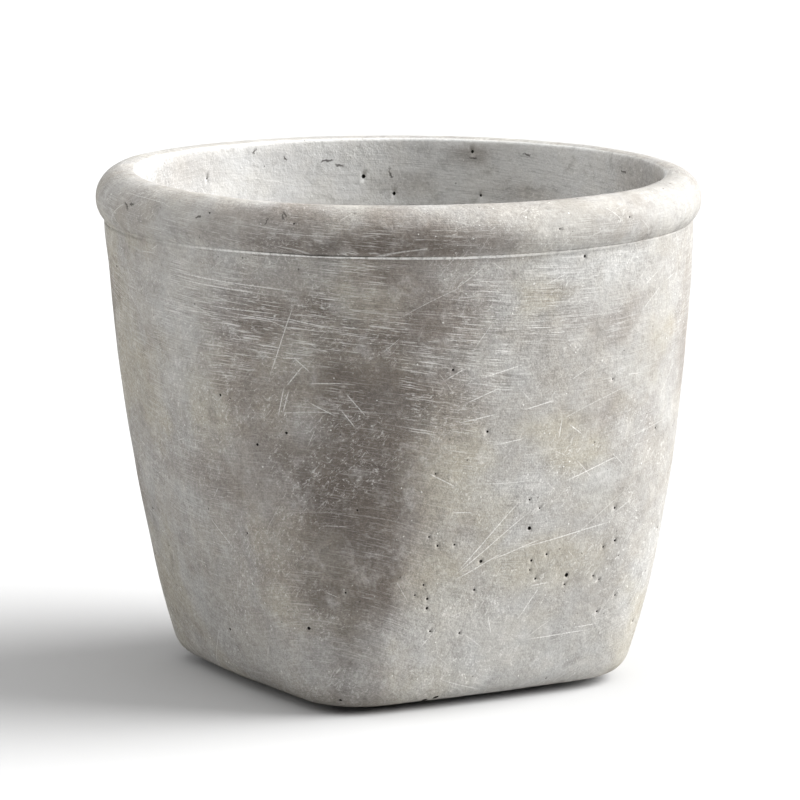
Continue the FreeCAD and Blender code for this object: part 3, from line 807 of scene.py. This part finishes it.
    height = g.math("MULTIPLY_ADD", crumbs, 0.5, g.math("MULTIPLY", grain, 0.2))
    height = g.math("MULTIPLY_ADD", lumps, 1.6, g.math("MULTIPLY", height, rough))
    height = g.math("ADD", height, g.math("MULTIPLY", g.math("SUBTRACT", pale, dark), 0.4))
    g.put(g.shader.inputs["Normal"], g.bump(height, CEMENT_RELIEF))
    g.put(g.shader.inputs["Base Color"], colour)
    g.put(g.shader.inputs["Roughness"], g.step(lumps, 0.3, 0.7, 0.95, 0.85))
    g.shader.inputs["Specular IOR Level"].default_value = 0.2
    return g.material


def pit_material():
    """Painted shade for the inside of a pinhole: near-black, mottled by noise."""
    g = Graph("pit")
    place = g.node("ShaderNodeTexCoord").outputs["Object"]
    dust = g.noise(place, 900, 2)
    # Near-black painted shade, mottled lighter by the noise.
    shade = g.mix(g.step(dust, 0.4, 0.7), tone(26, 23, 21), tone(60, 56, 52))
    g.put(g.shader.inputs["Base Color"], shade)
    g.shader.inputs["Roughness"].default_value = 1.0
    return g.material


def rubber_material(name, colour, roughness):
    g = Graph(name)
    place = g.node("ShaderNodeTexCoord").outputs["Object"]
    dust = g.noise(place, 160, 4, 0.6)
    grain = g.noise(place, 2400, 2, 0.6)
    g.put(g.shader.inputs["Base Color"],
          g.mix(g.step(dust, 0.5, 0.75, 0, 0.35), colour, tone(150, 147, 140)))
    g.put(g.shader.inputs["Roughness"], g.step(dust, 0.35, 0.7, roughness, roughness + 0.2))
    g.put(g.shader.inputs["Normal"], g.bump(grain, 0.00008))
    return g.material


# ---------------------------------------------------------------- camera, light and floor
def toward(azimuth, elevation=0.0):
    level = math.cos(elevation)
    return Vector((math.cos(azimuth) * level, math.sin(azimuth) * level, math.sin(elevation)))


def aim(thing, place, target):
    thing.location = place
    thing.rotation_euler = (Vector(target) - Vector(place)).to_track_quat("-Z", "Y").to_euler()


def make_camera():
    data = bpy.data.cameras.new("camera")
    data.lens = CAMERA_LENS
    data.sensor_width = 36
    data.clip_end = 50
    camera = bpy.data.objects.new("camera", data)
    bpy.context.scene.collection.objects.link(camera)
    target = Vector((0, 0, CAMERA_TARGET_Z))
    aim(camera, target + toward(CAMERA_AZIMUTH, CAMERA_ELEVATION) * CAMERA_DISTANCE, target)
    bpy.context.scene.camera = camera


def make_light(name, from_view, elevation, spread, strength):
    """Soft light from far off, so it falls evenly on the floor.

    from_view is its azimuth to the right of the camera's and spread is how wide it looks, in
    degrees. strength is the brightness of a white surface that squarely faces it.
    """
    data = bpy.data.lights.new(name, "SUN")
    data.angle = math.radians(spread)
    data.energy = strength * math.pi
    light = bpy.data.objects.new(name, data)
    bpy.context.scene.collection.objects.link(light)
    direction = toward(CAMERA_AZIMUTH + math.radians(from_view), math.radians(elevation))
    aim(light, direction * 2, (0, 0, 0))


def make_stage():
    mesh = bpy.data.meshes.new("floor")
    reach = 12.0
    corners = [(-reach, -reach, 0), (reach, -reach, 0), (reach, reach, 0), (-reach, reach, 0)]
    mesh.from_pydata(corners, [], [(0, 1, 2, 3)])
    floor = bpy.data.objects.new("floor", mesh)
    bpy.context.scene.collection.objects.link(floor)
    g = Graph("floor")
    g.shader.inputs["Base Color"].default_value = FLOOR_COLOUR
    g.shader.inputs["Roughness"].default_value = 0.9
    g.shader.inputs["Specular IOR Level"].default_value = 0.1
    mesh.materials.append(g.material)
    world = bpy.data.worlds.new("world")
    world.use_nodes = True
    sky = world.node_tree.nodes["Background"]
    sky.inputs["Color"].default_value = (1, 1, 1, 1)
    sky.inputs["Strength"].default_value = SKY_STRENGTH
    bpy.context.scene.world = world
    bpy.context.scene.view_settings.view_transform = "Standard"


make_camera()
make_light("key", 94, 33, 52, 2.25)
make_light("overhead", 40, 82, 90, 0.65)
make_light("fill", -92, 22, 60, 0.46)
make_stage()

pot = make_pot()
pot.data.materials.append(cement_material())
pot.data.materials.append(pit_material())
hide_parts("pot_shell")
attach(pot, "pot")

plug_rubber = rubber_material("plug_rubber", tone(48, 48, 50), 0.55)
pad_rubber = rubber_material("pad_rubber", tone(90, 88, 84), 0.7)
for node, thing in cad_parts.items():
    if node == "drain_plug" or node.startswith("foot_pad"):
        thing.data.materials.clear()
        thing.data.materials.append(plug_rubber if node == "drain_plug" else pad_rubber)
